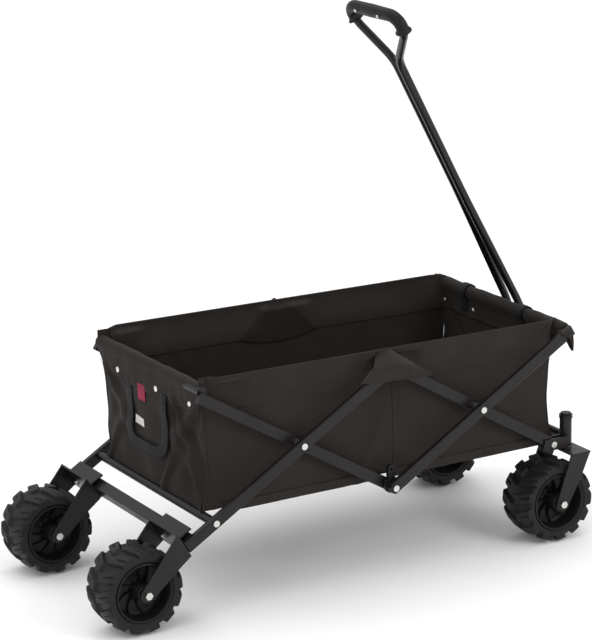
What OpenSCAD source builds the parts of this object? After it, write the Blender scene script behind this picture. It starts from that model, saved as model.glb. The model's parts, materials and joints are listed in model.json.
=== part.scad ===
// Folding all-terrain wagon with a scissor frame, a fabric tub, two swivel casters and a pull handle.
// +X points to the handle end, +Z up. The origin is on the ground, under the centre of the outline.

/* [Scissor frame] */
// Distance from a scissor's crossing pivot to the bottom-centre and top-centre pivots
half_bar = 261.3; // [240:1:280]
// Angle of the bars above the horizontal when the wagon is open
open_angle = 31; // [29:1:33]
// Height of the crossing pivots above the ground
cross_z = 342; // [335:1:350]
// Distance from a crossing pivot to the rear corner rivet
rear_reach = 247; // [240:1:255]
// Distance from a crossing pivot to the front corner pivot
front_reach = 238; // [230:1:242]
// Distance from the rear crossing pivot to the rear top end bar
rear_top_reach = 250; // [248:1:253]
// Distance from the front crossing pivot to the front top end bar
front_top_reach = 262; // [258:1:266]
// Width of a bar across its flat side
bar_w = 25; // [22:1:26]
// Thickness of a bar
bar_t = 14; // [12:1:15]
// Wall of the bars and tubes
wall = 1.5; // [1:0.1:2]
// Outer face of the outer bars, from the middle of the wagon
outer_face = 267.5; // [266:0.5:270]
// Outer face of the inner bars, from the middle of the wagon
inner_face = 238; // [236:0.5:240]

/* [Wheels] */
// Wheel radius over the lugs
wheel_r = 92; // [88:1:96]
// Wheel width
wheel_w = 100; // [90:1:106]
// Number of tread lugs on each shoulder
lugs = 18; // [12:1:22]
// Distance of the rear wheels from the middle of the wagon
rear_wheel_y = 207; // [205:1:212]
// Rear axle behind the middle of the frame
rear_axle_x = 597; // [590:1:610]
// Distance of the caster posts from the middle of the wagon
caster_y = 220; // [218:1:224]
// Caster posts ahead of the middle of the frame
caster_x = 476; // [474:1:480]
// Trail of the caster wheels behind their posts
trail = 49; // [40:1:52]

/* [Tub] */
// Underside of the fabric floor
floor_z = 226; // [226:1:230]
// Top edge of the fabric sides
rim_z = 506; // [503:1:510]
// Outer face of the fabric sides, from the middle of the wagon
tub_half_w = 218; // [212:1:218]

/* [Handle] */
// Backward lean of the upper handle, which rests against the front rim
handle_lean = 27.8; // [27:0.1:29]
// Length of the upper handle, from its bend to the middle of the grip
handle_upper = 825; // [780:5:860]
// Radius of the handle tube
handle_r = 9; // [8:0.5:10]
// Half width of the handle's grip
grip_half = 98; // [90:1:110]

/* [Hidden] */
$fn = 48;

left = 1;
right = -1;
gap = 0.3;            // air between parts that move past each other
run = 0.08;           // radial clearance of a turning fit
edge_r = 3;           // corner radius of the bar section
pin_r = 4;
head_r = 7;
head_t = 2.5;
axle_r = 5;
tube_r = 10;          // lower crossbars
top_tube_r = 11;      // top end bars

// Pivot points in the X-Z plane, measured from the middle of the frame
cross_x = half_bar * cos(open_angle);
rise = half_bar * sin(open_angle);
along = [cos(open_angle), sin(open_angle)];
x_rear = [-cross_x, cross_z];
x_front = [cross_x, cross_z];
top_centre = [0, cross_z + rise];
low_centre = [0, cross_z - rise];
rear_corner = x_rear - rear_reach * along;
front_corner = [cross_x + front_reach * along[0], cross_z - front_reach * along[1]];
rear_lift = 15;       // the end bars sit high on the bar ends
front_lift = 6;
rear_top = [-cross_x - rear_top_reach * along[0], cross_z + rear_top_reach * along[1] + rear_lift];
front_top = [cross_x + front_top_reach * along[0], cross_z + front_top_reach * along[1] + front_lift];
outer_y = outer_face - bar_t / 2;
inner_y = inner_face - bar_t / 2;
end_past = 12;        // a bar runs this far past its end bar
spacer_in = inner_face + gap;
spacer_out = outer_face - bar_t - gap;

// Rear beam, bracket and fork, as distances along the lower bar beyond the rear corner rivet
beam_s = 25;
beam_u = 64;
beam_end = beam_u + beam_s / 2;
plug_depth = 12;
plate_t = 4;
web_u = beam_end + plate_t;
crown_u = web_u + plate_t;
rear_bar_end = rear_reach + beam_end + 2;
bracket_low = -18;
bracket_high = 24;
bracket_front = 46;
bolt_mid = rear_wheel_y - 6;   // the bracket's bolts straddle this
bolt_step = 28;

fork_half = 61;       // outer face of the fork arms from the wheel's middle
arm_t = 4;
arm_r = 16;
hex_r = 8.5;
hex_t = 6;
bolt_half = fork_half + hex_t;
crown_top = wheel_r + 111;
crown_fore = 24;
crown_aft = 26;
post_r = 13.5;
stem_r = 8;
post_low = crown_top + 2;
post_high = 268;
cap_h = 12;

rim_r = 64;
hub_r = 18;
hub_half = 52;
lug_h = 7;
lug_w = 14;
lug_slant = 24;
tread_r = wheel_r - lug_h;

crossbar_r = 12;
front_bar_z = 222;
yoke_r = 16;
yoke_half = 31;
pivot_x = caster_x + 26;
sheet_t = 3;
hem_r = 16;
flare = 15;           // the rim spreads this far over the bars
flare_z = rim_z - 16;
band_h = 22;
stud_r = 5.5;
stud_t = 1.5;
stud_drop = 38;
loop_half = 88;
loop_z = 345;
loop_h = 98;
webbing_w = 25;
hem_bore = top_tube_r + 0.5;
board_t = 5;
board_gap = 4;
tub_gap = hem_r + 1.7;
tub_rear = rear_top[0] + tub_gap;
tub_front = front_top[0] - tub_gap;
tub_l = tub_front - tub_rear;
panel_lean = 3.5;
floor_rear = rear_top[0] + panel_lean + sheet_t + gap;
floor_front = front_top[0] - panel_lean - sheet_t - gap;

wheel_front = caster_x - trail + wheel_r;
rear_extreme = rear_axle_x + wheel_r;
mid_x = (rear_extreme - wheel_front) / 2;

function unit(v) = v / norm(v);
// Tangent point on a circle for a line from p, on side s
function tangent(p, c, r, s) =
    let (d = c - p, l = sqrt(norm(d) * norm(d) - r * r), h = atan2(d[1], d[0]) + s * asin(r / norm(d)))
    p + l * [cos(h), sin(h)];
// A path with its inner corners eased over a distance e
function ease(a, b, c, e, n) =
    [for (i = [0:n]) let (t = i / n) b + unit(a - b) * e * (1 - t) * (1 - t) + unit(c - b) * e * t * t];
function eased(p, e, n) =
    [p[0], for (i = [1:len(p) - 2]) each ease(p[i - 1], p[i], p[i + 1], e[i], n), p[len(p) - 1]];

module origin_shift() translate([mid_x, 0, 0]) children();
module at(p, y = 0) translate([p[0], y, p[1]]) children();
// A cylinder along Y from y0 to y1
module y_rod(r, y0, y1) translate([0, y0, 0]) rotate([-90, 0, 0]) cylinder(h = y1 - y0, r = r);
module sided(side) {
    if (side > 0) children();
    else mirror([0, 1, 0]) children();
}
// An X-Z outline with thickness from y0 to y1
module x_z_plate(y0, y1) translate([0, y1, 0]) rotate([90, 0, 0]) linear_extrude(y1 - y0) children();
// Drawn along the rear lower bar: X runs down the bar from the corner rivet, Z across it
module along_rear_bar() at(rear_corner) rotate([0, -open_angle, 0]) mirror([1, 0, 0]) children();

module rounded_section(w, t, r) {
    square([w - 2 * r, t], center = true);
    square([w, t - 2 * r], center = true);
    for (x = [-1, 1], y = [-1, 1]) translate([x * (w / 2 - r), y * (t / 2 - r)]) circle(r, $fn = 24);
}

// A flat-oval bar along X from -a to b, round at its ends where asked, drilled at each hole [x, radius]
module bar(a, b, round_a, round_b, holes) {
    inset = 3;
    difference() {
        intersection() {
            translate([-a, 0, 0]) rotate([90, 0, 90]) linear_extrude(a + b)
                rounded_section(bar_t, bar_w, edge_r);
            x_z_plate(-bar_t, bar_t) {
                start = round_a ? a - bar_w / 2 : a;
                finish = round_b ? b - bar_w / 2 : b;
                translate([-start, -bar_w / 2]) square([start + finish, bar_w]);
                if (round_a) translate([-start, 0]) circle(bar_w / 2);
                if (round_b) translate([finish, 0]) circle(bar_w / 2);
            }
        }
        translate([inset - a, 0, 0]) rotate([90, 0, 90]) linear_extrude(a + b - 2 * inset)
            rounded_section(bar_t - 2 * wall, bar_w - 2 * wall, edge_r - wall);
        for (h = holes) translate([h[0], 0, 0]) y_rod(h[1], -bar_t, bar_t);
    }
}

module rear_lower_bar(side) color("dimgray") origin_shift()
    at(x_rear, side * outer_y) rotate([0, -open_angle, 0]) bar(
        rear_bar_end, half_bar + bar_w / 2, false, true,
        [[0, pin_r], [half_bar, pin_r], [-rear_reach, pin_r]]);

module rear_upper_bar(side) color("dimgray") origin_shift()
    at(x_rear, side * inner_y) rotate([0, open_angle, 0]) bar(
        rear_top_reach + end_past, half_bar + bar_w / 2, false, true,
        [[0, pin_r + run], [half_bar, pin_r + run]]);

module front_upper_bar(side) color("dimgray") origin_shift()
    at(x_front, side * outer_y) rotate([0, -open_angle, 0]) bar(
        half_bar + bar_w / 2, front_top_reach + end_past, true, false,
        [[0, pin_r], [-half_bar, pin_r + run]]);

module front_lower_bar(side) color("dimgray") origin_shift()
    at(x_front, side * inner_y) rotate([0, open_angle, 0]) bar(
        half_bar + bar_w / 2, front_reach + bar_w / 2, true, true,
        [[0, pin_r + run], [-half_bar, pin_r + 2 * gap], [front_reach, pin_r + run]]);

// A tube across the wagon
module cross_tube(p, r, half) origin_shift() at(p) difference() {
    y_rod(r, -half, half);
    y_rod(r - wall, -half + 2, half - 2);
}

module rear_bottom_crossbar() color("dimgray") cross_tube(rear_corner, tube_r, outer_face - bar_t);
module rear_top_bar() color("dimgray") cross_tube(rear_top, top_tube_r, inner_face - bar_t);
module front_top_bar() color("dimgray") cross_tube(front_top, top_tube_r, outer_face - bar_t);
module centre_crossbar() color("dimgray") origin_shift() at(low_centre) difference() {
    y_rod(tube_r, -inner_face + bar_t + gap, inner_face - bar_t - gap);
    y_rod(tube_r - wall, -inner_face, inner_face);
}

// Rivet through both scissor bars, with the spacer that keeps them apart
module scissor_rivet() {
    y_rod(pin_r, inner_face - bar_t - gap - head_t, outer_face + head_t);
    y_rod(head_r, outer_face, outer_face + head_t);
    y_rod(head_r, inner_face - bar_t - gap - head_t, inner_face - bar_t - gap);
    y_rod(head_r + 2, spacer_in, outer_face - bar_t);
}

module rear_frame_rivets() color("silver") origin_shift() for (s = [left, right]) sided(s) {
    at(x_rear) scissor_rivet();
    at(top_centre) scissor_rivet();
    at(rear_corner) {
        y_rod(pin_r, outer_face - bar_t, outer_face);
        y_rod(head_r, outer_face, outer_face + head_t);
    }
}

module front_cross_rivets() color("silver") origin_shift() for (s = [left, right]) sided(s)
    at(x_front) scissor_rivet();

module centre_rivets() color("silver") origin_shift() for (s = [left, right]) sided(s) at(low_centre) {
    bracket_in = inner_face + 3.5;
    bracket_out = outer_face - bar_t - 3.5;
    y_rod(tube_r - wall, inner_face - bar_t - 20, inner_face - bar_t - gap);
    y_rod(pin_r, inner_face - bar_t - 20, outer_face + gap + head_t);
    y_rod(head_r, spacer_in, bracket_in);
    y_rod(head_r, bracket_out, spacer_out);
    y_rod(head_r, outer_face + gap, outer_face + gap + head_t);
}

// Moulded block between the two bottom-centre bar ends, with a tab that guides the fabric
module centre_bracket(side) color("black") origin_shift() sided(side) at(low_centre) difference() {
    x_z_plate(inner_face + 3.5, outer_face - bar_t - 3.5) {
        circle(15);
        translate([-15, 0]) square([30, 16]);
        translate([-8, 10]) square([16, 30]);
        translate([0, 40]) circle(8);
    }
    y_rod(pin_r, inner_face, outer_face);
    translate([0, 0, 38]) y_rod(3, inner_face, outer_face);
}

module wheel_beam() color("dimgray") origin_shift()
    along_rear_bar() translate([beam_u, 0, 0]) difference() {
    half = outer_face - bar_t;
    translate([-beam_s / 2, -half, -beam_s / 2]) cube([beam_s, 2 * half, beam_s]);
    translate([wall - beam_s / 2, -half - 1, wall - beam_s / 2])
        cube([beam_s - 2 * wall, 2 * half + 2, beam_s - 2 * wall]);
}

module wheel_beam_plugs() color("black") origin_shift() along_rear_bar() translate([beam_u, 0, 0])
    for (s = [left, right]) sided(s)
        translate([wall - beam_s / 2, outer_face - bar_t - plug_depth, wall - beam_s / 2])
            cube([beam_s - 2 * wall, plug_depth, beam_s - 2 * wall]);

// Channel that wraps the beam and carries the fork's crown
module rear_bracket(side) color("dimgray") origin_shift() along_rear_bar() sided(side) difference() {
    y0 = rear_wheel_y - fork_half;
    y1 = outer_face - bar_t - 1;
    translate([0, y0, 0]) union() {
        translate([beam_end, 0, bracket_low]) cube([plate_t, y1 - y0, bracket_high - bracket_low]);
        for (z = [bracket_low, bracket_high - plate_t])
            translate([bracket_front, 0, z]) cube([beam_end - bracket_front, y1 - y0, plate_t]);
    }
    for (y = [-bolt_step, bolt_step]) translate([beam_end - 1, bolt_mid + y, 0]) rotate([0, 90, 0])
        cylinder(h = 2 * plate_t, r = pin_r);
}

// Rear wheel centre along and across the lower bar
rear_axle_d = [-rear_axle_x - rear_corner[0], wheel_r - rear_corner[1]];
axle_u = -rear_axle_d[0] * along[0] - rear_axle_d[1] * along[1];
axle_v = -rear_axle_d[0] * along[1] + rear_axle_d[1] * along[0];

module arm_outline(top_a, top_b, knee, c) {
    a = tangent(top_a, c, arm_r, -1);
    b = tangent(knee, c, arm_r, 1);
    difference() {
        union() {
            polygon([top_a, top_b, knee, b, a]);
            translate(c) circle(arm_r);
        }
        translate(c) circle(axle_r + run);
    }
}

module rear_fork(side) color("dimgray") origin_shift() along_rear_bar() sided(side) {
    high = 40;
    low = -19;
    difference() {
        translate([web_u, rear_wheel_y - fork_half, low]) cube([plate_t, 2 * fork_half, high - low]);
        for (y = [-bolt_step, bolt_step]) translate([web_u - 1, bolt_mid + y, 0]) rotate([0, 90, 0])
            cylinder(h = 2 * plate_t, r = pin_r);
    }
    for (y = [-fork_half, fork_half - arm_t]) x_z_plate(rear_wheel_y + y, rear_wheel_y + y + arm_t)
        mirror([0, 1]) arm_outline([web_u, -high], [web_u, -low], [crown_u + 30, 23], [axle_u, -axle_v]);
}

module rear_fork_bolts() color("silver") origin_shift() along_rear_bar()
    for (s = [left, right], y = [-bolt_step, bolt_step])
    sided(s) translate([beam_end, bolt_mid + y, 0]) rotate([0, 90, 0]) {
        cylinder(h = 2 * plate_t, r = pin_r);
        translate([0, 0, 2 * plate_t]) cylinder(h = 4, r = 6.5, $fn = 6);
    }

// Axle bolt with a hex head at each side and a collar between the fork and the wheel
module axle_bolt() {
    y_rod(axle_r, -bolt_half, bolt_half);
    for (s = [left, right]) sided(s) {
        translate([0, fork_half + 0.1, 0]) rotate([-90, 0, 0]) cylinder(h = hex_t - 0.1, r = hex_r, $fn = 6);
        y_rod(hex_r, hub_half + gap, fork_half - arm_t - gap);
    }
}

module rear_axle_bolts() color("silver") origin_shift() for (s = [left, right]) sided(s)
    translate([-rear_axle_x, rear_wheel_y, wheel_r]) axle_bolt();

module lug(i) rotate([0, 0, i * 360 / lugs]) for (s = [left, right])
    rotate([0, 0, s > 0 ? 0 : 180 / lugs]) translate([tread_r - 6, 0, s * (wheel_w / 4 + 3)])
        rotate([s * lug_slant, 0, 0]) translate([0, -lug_w / 2, -wheel_w / 4 + 4])
            cube([lug_h + 5.5, lug_w, wheel_w / 2 - 8]);

// Tyre about its own axle, which lies along Y
module tyre() rotate([90, 0, 0]) intersection() {
    h = wheel_w / 2;
    union() {
        rotate_extrude($fn = 96) polygon([
            [rim_r, -h], [rim_r + 14, -h], [tread_r - 5, 7 - h], [tread_r, 17 - h],
            [tread_r, h - 17], [tread_r - 5, h - 7], [rim_r + 14, h], [rim_r, h]]);
        for (i = [0:lugs - 1]) lug(i);
    }
    rotate_extrude($fn = 96) polygon([
        [1, -h], [rim_r + 16, -h], [wheel_r - 4, 10 - h], [wheel_r, 20 - h],
        [wheel_r, h - 20], [wheel_r - 4, h - 10], [rim_r + 16, h], [1, h]]);
}

// Rim with a barrel, a central web and a bored hub
module rim() rotate([90, 0, 0]) {
    edge = wheel_w / 2 - 2;
    web = 4;
    rotate_extrude() polygon([
        [axle_r + run, -hub_half], [hub_r, -hub_half], [hub_r + 3, -web], [rim_r - 6, -web],
        [rim_r - 4, -edge], [rim_r, -edge], [rim_r, edge], [rim_r - 4, edge],
        [rim_r - 6, web], [hub_r + 3, web], [hub_r, hub_half], [axle_r + run, hub_half]]);
}

module rear_wheel_at(side) origin_shift() sided(side)
    translate([-rear_axle_x, rear_wheel_y, wheel_r]) children();
module front_wheel_at(side) origin_shift() sided(side)
    translate([caster_x - trail, caster_y, wheel_r]) children();
module rear_tyre(side) color("#1a1a1a") rear_wheel_at(side) tyre();
module rear_rim(side) color("#101010") rear_wheel_at(side) rim();
module front_tyre(side) color("#1a1a1a") front_wheel_at(side) tyre();
module front_rim(side) color("#101010") front_wheel_at(side) rim();
module front_axle_bolt(side) color("silver") front_wheel_at(side) axle_bolt();

module caster_fork(side) color("dimgray") origin_shift() sided(side) translate([caster_x, caster_y, 0]) {
    difference() {
        translate([-crown_aft, -fork_half, crown_top - plate_t])
            cube([crown_aft + crown_fore, 2 * fork_half, plate_t]);
        translate([0, 0, crown_top - 2 * plate_t]) cylinder(h = 3 * plate_t, r = stem_r);
    }
    for (y = [-fork_half, fork_half - arm_t]) x_z_plate(y, y + arm_t) rotate(180) arm_outline(
        [crown_aft, -crown_top], [-crown_fore, -crown_top], [-3, 48 - crown_top], [trail, -wheel_r]);
}

module caster_stem(side) color("silver") origin_shift() sided(side) translate([caster_x, caster_y, 0]) {
    translate([0, 0, crown_top - plate_t]) cylinder(h = post_high - 2 - crown_top + plate_t, r = stem_r);
    translate([0, 0, crown_top]) cylinder(h = post_low - crown_top - gap, r = post_r - 1);
}

module caster_post(side) color("dimgray") origin_shift() sided(side)
    translate([caster_x, caster_y, post_low]) difference() {
        cylinder(h = post_high - post_low, r = post_r);
        translate([0, 0, -1]) cylinder(h = post_high - post_low + 2, r = stem_r + run);
    }

module caster_post_caps() color("black") origin_shift() for (s = [left, right]) sided(s)
    translate([caster_x, caster_y, post_high]) {
        cylinder(h = cap_h - 4, r = post_r + 1.5);
        translate([0, 0, cap_h - 4]) cylinder(h = 4, r = post_r - 2);
    }

// Strap that wraps the lower end of the front bar and joins it to the caster post
module front_clevis(side) color("dimgray") origin_shift() sided(side) difference() {
    inner_limb = inner_face - bar_t - gap - plate_t;
    outer_limb = inner_face + 1;
    low = front_corner[1] - 12.8;
    high = front_corner[1] + 13;
    start = front_corner[0] - 24;
    union() {
        for (y = [inner_limb, outer_limb]) translate([start, y, low])
            cube([caster_x - start - 8, plate_t, high - low]);
        translate([caster_x - 17, inner_limb, low]) cube([9, outer_limb + plate_t - inner_limb, high - low]);
    }
    translate([caster_x, caster_y, 0]) cylinder(h = 400, r = post_r);
    at(front_corner) y_rod(pin_r, 0, 400);
}

module front_corner_rivets() color("silver") origin_shift() for (s = [left, right])
    sided(s) at(front_corner) {
    y_rod(pin_r, inner_face - bar_t - gap - plate_t, inner_face + 1 + plate_t);
    y_rod(head_r, inner_face + 1 + plate_t, inner_face + 1 + plate_t + head_t);
}

module front_bottom_crossbar() color("dimgray") origin_shift() difference() {
    translate([caster_x, 0, front_bar_z]) difference() {
        y_rod(crossbar_r, -caster_y + 8, caster_y - 8);
        y_rod(crossbar_r - wall, -caster_y, caster_y);
    }
    for (s = [left, right]) translate([caster_x, s * caster_y, 0]) cylinder(h = 400, r = post_r);
}

// Sleeve on the front crossbar with two ears for the handle's bolt
module handle_yoke() color("dimgray") origin_shift() translate([caster_x, 0, front_bar_z]) difference() {
    union() {
        y_rod(yoke_r, -yoke_half, yoke_half);
        for (y = [-yoke_half, yoke_half - 5]) x_z_plate(y, y + 5) {
            translate([pivot_x - caster_x, 0]) circle(12);
            translate([0, -12]) square([pivot_x - caster_x, 24]);
        }
    }
    y_rod(crossbar_r + run, -100, 100);
    translate([pivot_x - caster_x, 0, 0]) y_rod(pin_r + run, -100, 100);
}

// The handle tube is one bent tube: up one leg, round the grip loop and down the other leg
leg_y = yoke_half + handle_r + 2.4;
bend_y = 26;
merge_y = handle_r + 0.2;
grip_r = 16;
bend_z = 453;
lean_dir = [-sin(handle_lean), cos(handle_lean)];
function upper(y, s) = [pivot_x + s * lean_dir[0], y, bend_z + s * lean_dir[1]];
half_path = [
    [pivot_x, leg_y, front_bar_z - handle_r],
    [pivot_x, bend_y, bend_z],
    upper(merge_y, 337),
    upper(merge_y, handle_upper - 130),
    upper(grip_half - 4, handle_upper - 46),
    upper(grip_half - 1, handle_upper - 14),
    upper(grip_half - 20, handle_upper)];
last = len(half_path) - 1;
other_half = [for (i = [last:-1:0]) [half_path[i][0], -half_path[i][1], half_path[i][2]]];
eases = [0, 50, 60, 24, 14, 12, 12];
full_path = eased(concat(half_path, other_half), concat(eases, [for (i = [last:-1:0]) eases[i]]), 5);
loop_normal = [cos(handle_lean), 0, sin(handle_lean)];
grip_path = [for (p = full_path) if ((p[0] - pivot_x) * lean_dir[0] + (p[2] - bend_z) * lean_dir[1]
    > handle_upper - 50) p];

// A tube swept along points that never run along the loop's normal
module sweep(path, r, sides) {
    n = len(path);
    points = [for (i = [0:n - 1]) let (
        t = unit(path[min(i + 1, n - 1)] - path[max(i - 1, 0)]),
        a = unit(cross(t, loop_normal)),
        b = cross(t, a)
    ) for (k = [0:sides - 1]) path[i] + r * (cos(k * 360 / sides) * a + sin(k * 360 / sides) * b)];
    skin = [for (i = [0:n - 2], k = [0:sides - 1]) let (m = (k + 1) % sides)
        [i * sides + k, (i + 1) * sides + k, (i + 1) * sides + m, i * sides + m]];
    start = [[for (k = [0:sides - 1]) k]];
    finish = [[for (k = [sides - 1:-1:0]) (n - 1) * sides + k]];
    polyhedron(points, concat(skin, start, finish));
}

module handle_tube() color("#202020") origin_shift() difference() {
    sweep(full_path, handle_r, 20);
    translate([pivot_x, 0, front_bar_z]) y_rod(pin_r, -100, 100);
}

module handle_bolt() color("silver") origin_shift() translate([pivot_x, 0, front_bar_z]) {
    y_rod(pin_r, -leg_y - handle_r - 3, leg_y + handle_r + 3);
    for (s = [left, right]) sided(s) translate([0, leg_y + handle_r + 0.6, 0]) rotate([-90, 0, 0])
        cylinder(h = 5, r = 7, $fn = 6);
}

module handle_grip() color("black") origin_shift() difference() {
    sweep(grip_path, grip_r, 20);
    sweep(full_path, handle_r + gap, 20);
}

module grip_screws() color("silver") origin_shift() for (y = [-44, 44])
    translate(upper(y, handle_upper)) rotate([0, -handle_lean, 0]) translate([-grip_r - 1.8, 0, 0])
        rotate([0, 90, 0]) cylinder(h = 1.8, r = 3.5);

// Fabric side: a wall that flares over the bars at the rim, and a band along the bottom edge
module tub_side(side) color("#2a2826") origin_shift() sided(side) {
    in = tub_half_w - sheet_t;
    translate([tub_rear, 0, 0]) rotate([90, 0, 90]) linear_extrude(tub_l) polygon([
        [in, floor_z], [tub_half_w, floor_z], [tub_half_w, flare_z], [tub_half_w + flare, flare_z + 8],
        [tub_half_w + flare, rim_z], [in + 5, rim_z], [in, flare_z + 4]]);
    for (x = [[tub_rear + 22, -26], [26, front_corner[0] - 34]])
        translate([x[0], tub_half_w, floor_z - band_h / 2]) cube([x[1] - x[0], 3.5, band_h]);
}

// End panel with the sleeve that holds the end bar at p, drawn for the rear
module end_panel(p, half_sleeve) {
    y_half = tub_half_w - sheet_t - 0.2;
    base_x = p[0] + panel_lean;
    low = p[1] - hem_r + 3;
    difference() {
        union() {
            at(p) y_rod(hem_r, -half_sleeve, half_sleeve);
            x_z_plate(-y_half, y_half)
                polygon([[p[0] - 3, low], [p[0] + 1, low],
                    [base_x + sheet_t, floor_z + sheet_t], [base_x, floor_z]]);
        }
        at(p) y_rod(hem_bore, -300, 300);
    }
}

module tub_rear_panel() color("#2a2826") origin_shift() end_panel(rear_top, inner_face - bar_t - 1);
module tub_front_panel() color("#2a2826") origin_shift() mirror([1, 0, 0])
    end_panel([-front_top[0], front_top[1]], outer_face - bar_t - 1);

module tub_floor() color("#2a2826") origin_shift() {
    half = tub_half_w - sheet_t - 0.2;
    translate([floor_rear, -half, floor_z]) cube([floor_front - floor_rear, 2 * half, 2.5]);
}

// Four stiff boards that lie on the fabric floor
module floor_board() color("#2a2826") origin_shift() {
    half = tub_half_w - sheet_t - 4;
    step = (tub_l - 2 * board_gap) / 4;
    for (i = [0:3]) translate([tub_rear + 1.5 * board_gap + i * step, -half, floor_z + 3])
        cube([step - board_gap, 2 * half, board_t]);
}

// Triangular pockets that cover the top-centre pivots
module centre_pockets() color("#2a2826") origin_shift() for (s = [left, right]) sided(s) intersection() {
    out = outer_face + head_t;
    low = top_centre[1] - 26;
    translate([-85, 0, 0]) rotate([90, 0, 90]) linear_extrude(170) polygon([
        [out + 0.5, low], [out + 3.5, low], [out + 3.5, rim_z - 9], [tub_half_w + 19, rim_z + 4],
        [tub_half_w + 16, rim_z + 2], [out + 0.5, rim_z - 12]]);
    x_z_plate(0, 400) polygon([[-85, low], [85, low], [30, rim_z + 5], [-30, rim_z + 5]]);
}

// Webbing loop on the rear panel
module loop_outline(half, r, top) {
    translate([-half, loop_z]) square([2 * half, top]);
    for (y = [r - half, half - r]) translate([y, loop_z]) circle(r);
    translate([r - half, loop_z - r]) square([2 * (half - r), r + 1]);
}
module pull_loop() color("#1c1c1c") origin_shift() translate([rear_top[0] - 7, 0, 0]) rotate([90, 0, 90])
    linear_extrude(2.5) difference() {
        loop_outline(loop_half, 50, loop_h);
        loop_outline(loop_half - webbing_w, 50 - webbing_w, loop_h + 1);
    }

// Press studs along one end panel, below the end bar at p
module studs(p, places) {
    for (y = places) translate([p[0] - 4.1, y, p[1] - stud_drop]) rotate([0, 90, 0])
        cylinder(h = stud_t, r = stud_r);
}
module tub_snaps() color("silver") origin_shift() {
    studs(rear_top, [-172, -44, 124, 208]);
    studs(front_top, [-207, -94, 94, 207]);
}

rear_axle_bolts();
rear_lower_bar(left);  // rear_lower_bar_left
rear_lower_bar(right);  // rear_lower_bar_right
rear_bottom_crossbar();
wheel_beam();
wheel_beam_plugs();
rear_bracket(left);  // rear_bracket_left
rear_bracket(right);  // rear_bracket_right
rear_fork(left);  // rear_fork_left
rear_fork(right);  // rear_fork_right
rear_fork_bolts();
rear_frame_rivets();
rear_tyre(left);  // rear_tyre_left
rear_tyre(right);  // rear_tyre_right
rear_rim(left);  // rear_rim_left
rear_rim(right);  // rear_rim_right
rear_upper_bar(left);  // rear_upper_bar_left
rear_upper_bar(right);  // rear_upper_bar_right
rear_top_bar();
centre_bracket(left);  // centre_bracket_left
centre_bracket(right);  // centre_bracket_right
centre_crossbar();
centre_rivets();
front_upper_bar(left);  // front_upper_bar_left
front_upper_bar(right);  // front_upper_bar_right
front_top_bar();
front_cross_rivets();
front_lower_bar(left);  // front_lower_bar_left
front_lower_bar(right);  // front_lower_bar_right
front_bottom_crossbar();
front_clevis(left);  // front_clevis_left
front_clevis(right);  // front_clevis_right
front_corner_rivets();
caster_post(left);  // caster_post_left
caster_post(right);  // caster_post_right
caster_post_caps();
caster_fork(left);  // caster_fork_left
caster_fork(right);  // caster_fork_right
caster_stem(left);  // caster_stem_left
caster_stem(right);  // caster_stem_right
front_axle_bolt(left);  // front_axle_bolt_left
front_axle_bolt(right);  // front_axle_bolt_right
front_tyre(left);  // front_tyre_left
front_tyre(right);  // front_tyre_right
front_rim(left);  // front_rim_left
front_rim(right);  // front_rim_right
handle_yoke();
handle_tube();
handle_bolt();
handle_grip();
grip_screws();
tub_side(left);  // tub_side_left
tub_side(right);  // tub_side_right
tub_rear_panel();
tub_front_panel();
tub_floor();
floor_board();
centre_pockets();
pull_loop();
tub_snaps();
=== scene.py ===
import bpy
import json
import math
import numpy as np
from mathutils import Matrix, Vector


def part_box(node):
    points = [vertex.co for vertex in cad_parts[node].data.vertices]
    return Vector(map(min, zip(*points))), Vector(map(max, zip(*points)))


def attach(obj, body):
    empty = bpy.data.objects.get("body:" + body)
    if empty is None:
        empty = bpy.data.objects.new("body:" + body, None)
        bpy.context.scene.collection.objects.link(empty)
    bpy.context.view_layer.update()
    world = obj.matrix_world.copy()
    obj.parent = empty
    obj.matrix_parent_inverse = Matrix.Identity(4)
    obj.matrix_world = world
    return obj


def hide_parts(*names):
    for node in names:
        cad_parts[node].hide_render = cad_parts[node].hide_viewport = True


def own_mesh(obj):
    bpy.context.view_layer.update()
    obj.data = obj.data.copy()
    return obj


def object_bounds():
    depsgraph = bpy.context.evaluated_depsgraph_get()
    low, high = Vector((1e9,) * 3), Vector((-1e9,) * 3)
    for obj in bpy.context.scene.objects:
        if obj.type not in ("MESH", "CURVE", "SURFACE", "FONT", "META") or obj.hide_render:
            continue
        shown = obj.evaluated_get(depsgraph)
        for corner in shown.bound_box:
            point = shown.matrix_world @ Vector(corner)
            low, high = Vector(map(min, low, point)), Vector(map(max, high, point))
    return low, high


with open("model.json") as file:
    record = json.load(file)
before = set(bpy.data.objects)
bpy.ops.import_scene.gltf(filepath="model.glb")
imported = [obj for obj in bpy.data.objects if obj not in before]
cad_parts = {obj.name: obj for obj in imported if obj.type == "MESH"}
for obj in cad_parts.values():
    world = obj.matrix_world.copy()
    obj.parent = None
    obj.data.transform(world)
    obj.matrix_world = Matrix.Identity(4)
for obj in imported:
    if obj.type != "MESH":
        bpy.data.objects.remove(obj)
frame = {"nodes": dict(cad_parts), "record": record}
cad_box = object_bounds()

# ---------------------------------------------------------------- places, in millimetres from the frame's middle
LEFT, RIGHT = 1, -1
SIDES = {"left": LEFT, "right": RIGHT}


def span(node):
    low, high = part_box(node)
    return np.array(low) * 1000, np.array(high) * 1000


def centre(node):
    low, high = span(node)
    return (low + high) / 2


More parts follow.
